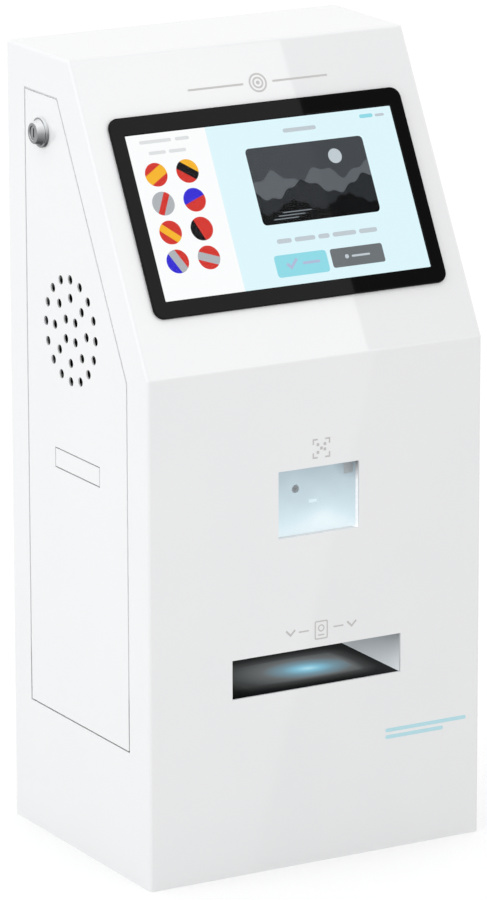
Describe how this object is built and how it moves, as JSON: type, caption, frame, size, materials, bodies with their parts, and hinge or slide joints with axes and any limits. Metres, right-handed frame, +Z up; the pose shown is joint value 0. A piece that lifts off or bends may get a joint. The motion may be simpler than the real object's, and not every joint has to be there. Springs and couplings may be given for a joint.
{
  "type": "check-in kiosk",
  "caption": "Self-service desk kiosk with a leaning touch screen, a code reader window, a passport pocket and a lockable side door that drops open on bottom pivots.",
  "frame": {"origin": "middle of the footprint, on the surface that the base plate stands on", "axes": "+Z up, the front faces -Y, +X to the right of a person who faces the screen"},
  "size_m": [0.334, 0.2488, 0.691],
  "materials": {
    "white_paint": "fine satin powder coat",
    "zinc_steel": "bright zinc plate",
    "bezel_black": "satin black",
    "screen_glass": "clear touch glass",
    "lit_screen": "lit picture",
    "black_plastic": "fine grain",
    "white_plastic": "smooth",
    "window_glass": "pale blue",
    "lens": "polished",
    "diffuser": "lit white plate",
    "lamp": "white lamps",
    "liner_grey": "smooth light grey",
    "dark_glass": "smoked",
    "supply_metal": "folded sheet",
    "brass_contacts": "bright",
    "black_metal": "black coat",
    "cone_paper": "coated paper",
    "magnet_iron": "dull",
    "lock_chrome": "polished"
  },
  "bodies": {
    "cabinet": {"front_wrap": "white_paint", "left_cheek": "white_paint", "right_cheek": "white_paint", "base_plate": "white_paint", "rear_panel": "white_paint", "door_stop": "white_paint", "hinge_brackets": "white_paint", "lock_strike": "white_paint", "rear_panel_screws": "zinc_steel", "hinge_pins": "zinc_steel", "panel_nuts": "zinc_steel", "scanner_bracket": "zinc_steel", "reader_shelf": "zinc_steel", "computer_bracket": "zinc_steel", "display_bezel": "bezel_black", "touch_glass": "screen_glass", "lcd_panel": "lit_screen", "display_rear_cover": "black_plastic", "scanner": "black_plastic", "reader_housing": "black_plastic", "computer": "black_plastic", "power_inlet": "black_plastic", "network_socket": "black_plastic", "supply_terminals": "black_plastic", "scanner_tunnel": "white_plastic", "scanner_glass": "window_glass", "scanner_lens": "lens", "reader_camera": "lens", "scanner_sensor": "lens", "scanner_plate": "diffuser", "scanner_lamp": "lamp", "reader_light": "lamp", "pocket_liner": "liner_grey", "pocket_glass": "dark_glass", "power_supply": "supply_metal", "inlet_pins": "brass_contacts"},
    "service_door": {"door_panel": "white_paint", "door_stiffener": "white_paint", "blank_plate": "white_paint", "speaker_basket": "black_metal", "speaker_cone": "cone_paper", "speaker_magnet": "magnet_iron", "speaker_screws": "zinc_steel", "lock_housing": "lock_chrome", "lock_nut": "lock_chrome"},
    "lock_barrel": {"lock_plug": "lock_chrome", "lock_cam": "zinc_steel", "cam_screw": "zinc_steel"},
    "switch_rocker": {"power_rocker": "black_plastic"}
  },
  "joints": [
    {"name": "door_hinge", "type": "hinge", "parent": "cabinet", "child": "service_door", "pos_m": [-0.1555, 0, 0.1307], "axis": [0, -1, 0], "range_deg": [0, 90]},
    {"name": "lock_turn", "type": "hinge", "parent": "service_door", "child": "lock_barrel", "pos_m": [-0.1625, 0.05999, 0.622], "axis": [1, 0, 0], "range_deg": [0, 90]},
    {"name": "rocker_tip", "type": "hinge", "parent": "cabinet", "child": "switch_rocker", "pos_m": [0.095, 0.1195, 0.0745], "axis": [1, 0, 0], "range_deg": [0, 12]}
  ]
}
